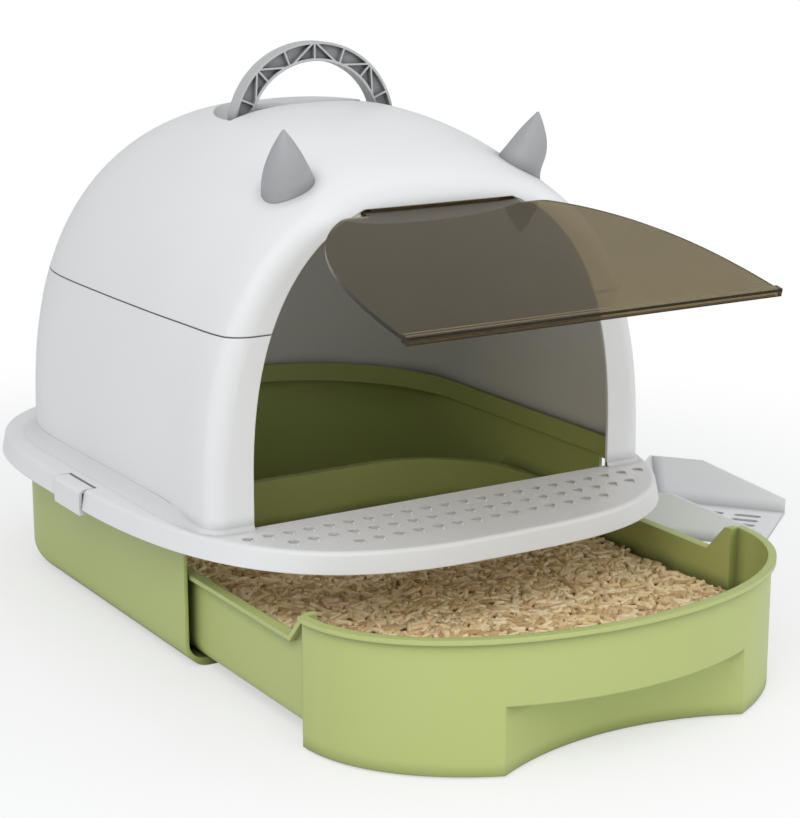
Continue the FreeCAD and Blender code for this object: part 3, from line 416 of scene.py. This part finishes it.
def sweep(rows: Iterable[Sequence[Vector]]) -> bmesh.types.BMesh:
    """Extrude a closed outline along a way, with its corners given at each stop.

    Args:
        rows: the outline's corners at each stop.

    Returns:
        A closed mesh.
    """
    stops = list(rows)
    mesh = bmesh.new()
    face = mesh.faces.new([mesh.verts.new(point) for point in stops[0]])
    edges = list(face.edges)
    corners = list(face.verts)
    for stop in stops[1:]:
        made = bmesh.ops.extrude_edge_only(mesh, edges=edges)["geom"]
        partner: dict[bmesh.types.BMVert, bmesh.types.BMVert] = {}
        for vert in (item for item in made if isinstance(item, bmesh.types.BMVert)):
            for edge in vert.link_edges:
                other = edge.other_vert(vert)
                if other in corners:
                    partner[other] = vert
        corners = [partner[vert] for vert in corners]
        for vert, point in zip(corners, stop):
            vert.co = point
        edges = [item for item in made if isinstance(item, bmesh.types.BMEdge)]
    mesh.faces.new(list(reversed(corners)))
    bmesh.ops.recalc_face_normals(mesh, faces=mesh.faces[:])
    return mesh


@dataclass
class SubAssembly:
    """CAD solids that share one finish, with the new pieces that go on them."""

    nodes: tuple[str, ...]

    def dress(self, material: bpy.types.Material) -> None:
        """Finish every solid alike."""
        for name in self.nodes:
            coat(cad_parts[name], material)


@dataclass
class Tray(SubAssembly):
    """The outer tray and the drawer that slides in it."""

    nodes: tuple[str, ...] = ("base_tray", "litter_drawer")


@dataclass
class Clips(SubAssembly):
    """The side clips that hold the hood on the tray."""

    nodes: tuple[str, ...] = ("left_latch", "right_latch")


@dataclass
class Scoop(SubAssembly):
    """The slotted scoop beside the box."""

    nodes: tuple[str, ...] = ("litter_scoop",)


@dataclass
class Ears(SubAssembly):
    """The ear-shaped plugs on the hood."""

    nodes: tuple[str, ...] = ("left_ear", "right_ear")


@dataclass
class Handle(SubAssembly):
    """The trussed handle on the hood."""

    nodes: tuple[str, ...] = ("carry_handle",)


@dataclass
class Flap(SubAssembly):
    """The see-through flap in the arch."""

    nodes: tuple[str, ...] = ("flap_door",)


@dataclass
class Pins(SubAssembly):
    """The pivots of the flap, the handle and the clips."""

    nodes: tuple[str, ...] = ("left_flap_pin", "right_flap_pin", "left_handle_pin",
                              "right_handle_pin", "left_latch_pin", "right_latch_pin")


@dataclass
class HoodPlan:
    """The hood's plan at its foot."""

    half: float = 203.5 * MM
    rear: float = 200.5 * MM
    face: float = -249 * MM
    rounding: float = 16 * MM
    start: float = 36.5 * MM
    power: float = 2.55
    foot: float = 122.5 * MM
    door_half: float = 165.5 * MM
    jamb_shares: tuple[float, ...] = (0.0, 0.5)
    corner_degrees: range = range(0, 91, 15)
    side_steps: int = 8
    rear_steps: int = 28

    def jamb(self) -> list[Stop]:
        """List the stops beside the arch.

        Returns:
            Pairs of a place and an outward direction.
        """
        run = self.half - self.rounding - self.door_half
        places = [Vector((self.door_half + run * share, self.face, self.foot))
                  for share in self.jamb_shares]
        return [(place, Vector((0, -1, 0))) for place in places]

    def corner(self) -> list[Stop]:
        """List the stops round the front corner.

        Returns:
            Pairs of a place and an outward direction.
        """
        centre = Vector((self.half - self.rounding, self.face + self.rounding, self.foot))
        turns = [math.radians(degrees) for degrees in self.corner_degrees]
        ways = [Vector((math.sin(turn), -math.cos(turn), 0)) for turn in turns]
        return [(centre + way * self.rounding, way) for way in ways]

    def side(self) -> list[Stop]:
        """List the stops along the straight side.

        Returns:
            Pairs of a place and an outward direction.
        """
        begin = self.face + self.rounding
        length = self.start - self.face - self.rounding
        places = [Vector((self.half, begin + length * index / self.side_steps, self.foot))
                  for index in range(1, self.side_steps + 1)]
        return [(place, Vector((1, 0, 0))) for place in places]

    def back(self) -> list[Stop]:
        """List the stops round the rear curve, to the middle of the back.

        Returns:
            Pairs of a place and an outward direction.
        """
        depth = self.rear - self.start
        bend, slope = 2 / self.power, self.power - 1
        stops: list[Stop] = []
        for index in range(1, self.rear_steps + 1):
            turn = QUARTER * index / self.rear_steps
            across, along = math.cos(turn) ** bend, math.sin(turn) ** bend
            place = Vector((self.half * across, self.start + depth * along, self.foot))
            way = Vector((across ** slope / self.half, along ** slope / depth, 0)).normalized()
            stops.append((place, way))
        return stops

    def way_round(self) -> list[Stop]:
        """List the stops round the whole foot, from jamb to jamb by way of the back.

        Returns:
            Pairs of a place and an outward direction.
        """
        right = self.jamb() + self.corner() + self.side() + self.back()
        flip = Vector((-1, 1, 1))
        return right + [(place * flip, way * flip) for place, way in reversed(right[:-1])]


@dataclass
class Hood(SubAssembly):
    """The white shells, and the flare where the lower one meets its flange."""

    nodes: tuple[str, ...] = ("lower_hood", "upper_hood")
    plan: HoodPlan = field(default_factory=HoodPlan)
    flare_front: float = 3.5 * MM
    flare_side: float = 10 * MM
    flare_run: float = 70 * MM
    flare_steps: int = 6
    toe: float = 0.3 * MM
    proud_out: float = 0.15 * MM
    proud_up: float = 0.1 * MM
    sunk: float = 1.2 * MM
    smooth: float = 0.7

    def flare_size(self, place: Vector) -> float:
        """Give the flare's radius at a place on the foot."""
        share = ease((place.y - self.plan.face) / self.flare_run)
        return self.flare_front + (self.flare_side - self.flare_front) * share

    def flare_section(self, place: Vector, way: Vector) -> list[Vector]:
        """Give the flare's section at one stop.

        Args:
            place: the stop on the foot.
            way: the outward direction there.

        Returns:
            The section's corners.
        """
        radius = self.flare_size(place)
        down = Vector((0, 0, -self.sunk))
        section = [place + way * (radius + self.toe) + down]
        for index in range(self.flare_steps + 1):
            turn = QUARTER * index / self.flare_steps
            out = radius * (1 - math.sin(turn)) + self.proud_out
            rise = radius * (1 - math.cos(turn)) + self.proud_up
            section.append(place + way * out + Vector((0, 0, rise)))
        inner = place - way * self.sunk
        return section + [inner + Vector((0, 0, radius)), inner + down]

    def build(self) -> bpy.types.Object:
        """Make the concave flare round the hood's foot.

        Returns:
            The flare piece.
        """
        sections = [self.flare_section(place, way) for place, way in self.plan.way_round()]
        piece = add_mesh("hood_foot_flare", sweep(sections), self.smooth)
        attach(piece, Body.SHELL.value)
        return piece

    def dress(self, material: bpy.types.Material) -> None:
        """Finish the shells and the flare alike."""
        super().dress(material)
        coat(self.build(), material)


@dataclass
class Litter(SubAssembly):
    """The litter in the drawer: a bed with loose pellets lying all over it."""

    nodes: tuple[str, ...] = ("litter_bed",)
    drawer_out: float = 181.5 * MM
    shoulder: float = -197.6 * MM
    shoulder_wall: float = 3 * MM
    tub_half: float = 186 * MM
    tub_rear: float = 181.5 * MM
    tub_corner: float = 96 * MM
    bow_half: float = 194 * MM
    bow_reach: float = 135 * MM
    recess_axis: float = -527.6 * MM
    recess_radius: float = 241 * MM
    clearance: float = 2 * MM
    level: float = 47.4 * MM
    fall: float = 17 * MM
    fall_run: float = 76 * MM
    wave_height: float = 1.2 * MM
    wave_pitch: tuple[float, float] = (31, 27)
    wave_start: tuple[float, float] = (1.3, 0.4)
    run: float = 540 * MM
    half_columns: int = 38
    spacing: float = 5.2 * MM
    stagger: float = 0.5
    stray: float = 0.5
    tilt_spread: float = 0.16
    heap: tuple[float, float] = (-0.3 * MM, 2.6 * MM)
    radius: float = 1.9 * MM
    girth: tuple[float, float] = (0.85, 1.12)
    shortest: float = 9 * MM
    longest: float = 17 * MM
    sides: int = 7
    rim: float = 0.5 * MM
    smooth: float = 0.9
    seed: int = 11
    patches: int = 6

    def holds(self, x: float, y: float) -> bool:
        """Tell whether a place in the closed drawer lies on the litter, clear of the walls.

        Args:
            x: place across the drawer.
            y: place along the drawer.

        Returns:
            True on the litter.
        """
        gap = self.clearance
        if y < self.shoulder - self.shoulder_wall - gap:
            across = x / (self.bow_half - gap)
            along = (y - self.shoulder) / (self.bow_reach - gap)
            outside_recess = math.hypot(x, y - self.recess_axis) > self.recess_radius + gap
            return across ** 2 + along ** 2 < 1 and outside_recess
        side, rear, corner = self.tub_half - gap, self.tub_rear - gap, self.tub_corner - gap
        if abs(x) > side or y > rear:
            return False
        beyond_x, beyond_y = abs(x) - (side - corner), y - (rear - corner)
        return min(beyond_x, beyond_y) <= 0 or math.hypot(beyond_x, beyond_y) <= corner

    def height(self, x: float, y: float) -> float:
        """Give the height of the litter at a place in the closed drawer.

        Args:
            x: place across the drawer.
            y: place along the drawer.

        Returns:
            The height, with its slow waves and the fall to the rear.
        """
        waves = [math.sin(place * pitch + start)
                 for place, pitch, start in zip((x, y), self.wave_pitch, self.wave_start)]
        sunk = self.fall * max(0.0, (y - self.tub_rear + self.fall_run) / self.fall_run)
        return self.level - sunk + waves[0] * waves[1] * self.wave_height

    def places(self, dice: random.Random) -> list[Matrix]:
        """Scatter the pellets.

        Args:
            dice: the seeded source of chance.

        Returns:
            A place and turn for each pellet.
        """
        found: list[Matrix] = []
        for row in range(int(self.run / self.spacing)):
            shift = self.stagger * (row % 2)
            for column in range(-self.half_columns, self.half_columns + 1):
                x = (column + shift + dice.uniform(-self.stray, self.stray)) * self.spacing
                y = self.tub_rear - (row + dice.uniform(-self.stray, self.stray)) * self.spacing
                length = dice.uniform(self.shortest, self.longest)
                heading = dice.uniform(0, math.pi)
                tilt = dice.gauss(0, self.tilt_spread)
                reach = length / 2 * math.cos(tilt)
                across, along = reach * math.cos(heading), reach * math.sin(heading)
                if not all(self.holds(x + end * across, y + end * along) for end in (-1, 1)):
                    continue
                z = self.height(x, y) + dice.uniform(*self.heap)
                turn = Euler((0, QUARTER + tilt, heading)).to_matrix().to_4x4()
                found.append(Matrix.Translation((x, y - self.drawer_out, z)) @ turn
                             @ Matrix.Diagonal((1, 1, length, 1)))
        return found

    def patch(self, name: str, places: Sequence[Matrix], dice: random.Random) -> bpy.types.Object:
        """Make one patch of pellets.

        Args:
            name: the piece's name.
            places: a place and turn for each pellet.
            dice: the seeded source of chance.

        Returns:
            The patch.
        """
        mesh = bmesh.new()
        tone = mesh.verts.layers.float.new(TONE)
        for place in places:
            wide = self.radius * dice.uniform(*self.girth)
            made = bmesh.ops.create_cone(mesh, cap_ends=True, segments=self.sides, radius1=wide,
                                         radius2=wide, depth=1.0, matrix=place)
            shade = dice.random()
            for vert in made["verts"]:
                vert[tone] = shade
        rims = [edge for edge in mesh.edges
                if any(len(face.verts) == self.sides for face in edge.link_faces)]
        bmesh.ops.bevel(mesh, geom=rims, offset=self.rim, affect="EDGES", segments=1,
                        profile=0.5, material=-1)
        piece = add_mesh(name, mesh, self.smooth)
        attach(piece, Body.DRAWER.value)
        return piece

    def build(self) -> list[bpy.types.Object]:
        """Make the pellets, a patch at a time.

        Returns:
            The patches.
        """
        dice = random.Random(self.seed)
        places = self.places(dice)
        share = math.ceil(len(places) / self.patches)
        return [self.patch(f"pellets_{index + 1}", places[index * share:(index + 1) * share], dice)
                for index in range(self.patches)]

    def dress(self, material: bpy.types.Material) -> None:
        """Finish the pellets, and the bed in darker tones that paint shade into the gaps between
        them.

        Args:
            material: the pellets' finish.
        """
        super().dress(PAINTED_SHADE_BED.material(None))
        for piece in self.build():
            coat(piece, material)


@dataclass(frozen=True)
class Lamp:
    """A soft square lamp."""

    name: str
    place: Place
    aim: Place
    size: float
    power: float

    def hang(self) -> None:
        """Hang the lamp and point it."""
        data = bpy.data.lights.new(self.name, "AREA")
        data.size = self.size
        data.energy = self.power
        lamp = bpy.data.objects.new(self.name, data)
        lamp.location = self.place
        way = Vector(self.aim) - Vector(self.place)
        lamp.rotation_euler = way.to_track_quat("-Z", "Y").to_euler()
        bpy.context.scene.collection.objects.link(lamp)


@dataclass
class Studio:
    """Camera, floor and soft light."""

    place: Place = (-0.87863, -1.60932, 0.60263)
    back: Place = (-0.51021, -0.82445, 0.24489)
    right: Place = (0.85034, -0.52624, 0.0)
    up: Place = (0.12887, 0.20824, 0.96955)
    lens: float = 93.75
    sensor: float = 36
    farthest: float = 50
    sky: Colour = (0.94, 0.97, 1.0)
    sky_strength: float = 0.56
    backdrop: Colour = (1, 1, 1)
    floor_size: float = 12.0
    floor_scale: float = 3.0
    floor_light: Colour = (0.92, 0.92, 0.92)
    floor_dim: Colour = (0.9, 0.9, 0.9)
    fade_start: float = 0.4
    fade_end: float = 0.9
    near_glow: float = 0.55
    lamps: tuple[Lamp, ...] = (
        Lamp("key", (-1.5, -1.5, 2.0), (0, -0.1, 0.2), 1.8, 29),
        Lamp("front", (0.3, -2.6, 0.9), (0, -0.3, 0.1), 1.6, 9),
        Lamp("fill", (2.0, -1.2, 1.4), (0, -0.1, 0.2), 1.8, 10),
        Lamp("top", (0.2, 0.5, 2.6), (0, 0, 0.3), 2.0, 6))

    def camera(self) -> None:
        """Stand the camera where the photograph was taken from."""
        data = bpy.data.cameras.new("camera")
        data.lens = self.lens
        data.sensor_width = self.sensor
        data.clip_end = self.farthest
        seen = bpy.data.objects.new("camera", data)
        axes = Matrix((self.right, self.up, self.back)).transposed()
        seen.matrix_world = Matrix.Translation(self.place) @ axes.to_4x4()
        bpy.context.scene.collection.objects.link(seen)
        bpy.context.scene.camera = seen

    def world(self) -> None:
        """Light everything evenly, with a white backdrop for what the camera sees."""
        world = bpy.data.worlds.new("studio")
        bpy.context.scene.world = world
        world.use_nodes = True
        graph = Graph(world.node_tree)
        seen = graph.node("ShaderNodeMath", {"operation": "MAXIMUM"}, {
            0: graph.node("ShaderNodeLightPath", output="Is Camera Ray"),
            1: graph.node("ShaderNodeLightPath", output="Is Transmission Ray")})
        sky = graph.node("ShaderNodeBackground", {}, {
            "Color": (*self.sky, 1), "Strength": self.sky_strength})
        backdrop = graph.node("ShaderNodeBackground", {}, {"Color": (*self.backdrop, 1)})
        both = graph.node("ShaderNodeMixShader", {}, {0: seen, 1: sky, 2: backdrop})
        graph.node("ShaderNodeOutputWorld", {}, {"Surface": both})

    def floor(self) -> None:
        """Lay a pale floor that keeps the object's shadow."""
        mesh = bmesh.new()
        bmesh.ops.create_grid(mesh, x_segments=2, y_segments=2, size=self.floor_size / 2)
        floor = add_mesh("floor", mesh)
        shader = Shader("floor")
        seen = shader.node("ShaderNodeLightPath", output="Is Camera Ray")
        mottle = shader.noise(self.floor_scale)
        colour = shader.blend(mottle, self.floor_light, self.floor_dim)
        away = shader.node("ShaderNodeVectorMath", {"operation": "LENGTH"},
                           {0: shader.place()}, "Value")
        fade = shader.node("ShaderNodeMapRange", {"interpolation_type": "SMOOTHSTEP"}, {
            "Value": away, "From Min": self.fade_start, "From Max": self.fade_end,
            "To Min": self.near_glow, "To Max": 1.0})
        lit = shader.node("ShaderNodeBsdfDiffuse", {}, {"Color": colour}, "BSDF")
        glow = shader.node("ShaderNodeEmission", {}, {
            "Color": (*self.backdrop, 1), "Strength": 1.0}, "Emission")
        both = shader.node("ShaderNodeMixShader", {}, {0: fade * seen, 1: lit, 2: glow})
        coat(floor, shader.close(both))

    def build(self) -> None:
        """Set up the whole studio."""
        bpy.context.scene.view_settings.view_transform = "Standard"
        self.camera()
        self.world()
        self.floor()
        for lamp in self.lamps:
            lamp.hang()


def main() -> None:
    """Build the studio and every sub-assembly in order."""
    logging.basicConfig(level=logging.INFO, format="%(name)s: %(message)s")
    Studio().build()
    white = WHITE.material()
    Tray().dress(GREEN.material())
    Clips().dress(white)
    Scoop().dress(white)
    Ears().dress(EAR_GREY.material())
    Handle().dress(HANDLE_GREY.material())
    Pins().dress(PIN_GREY.material())
    Flap().dress(SMOKE.material())
    Hood().dress(white)
    Litter().dress(PELLETS.material(TONE))


if __name__ == "__main__":
    main()
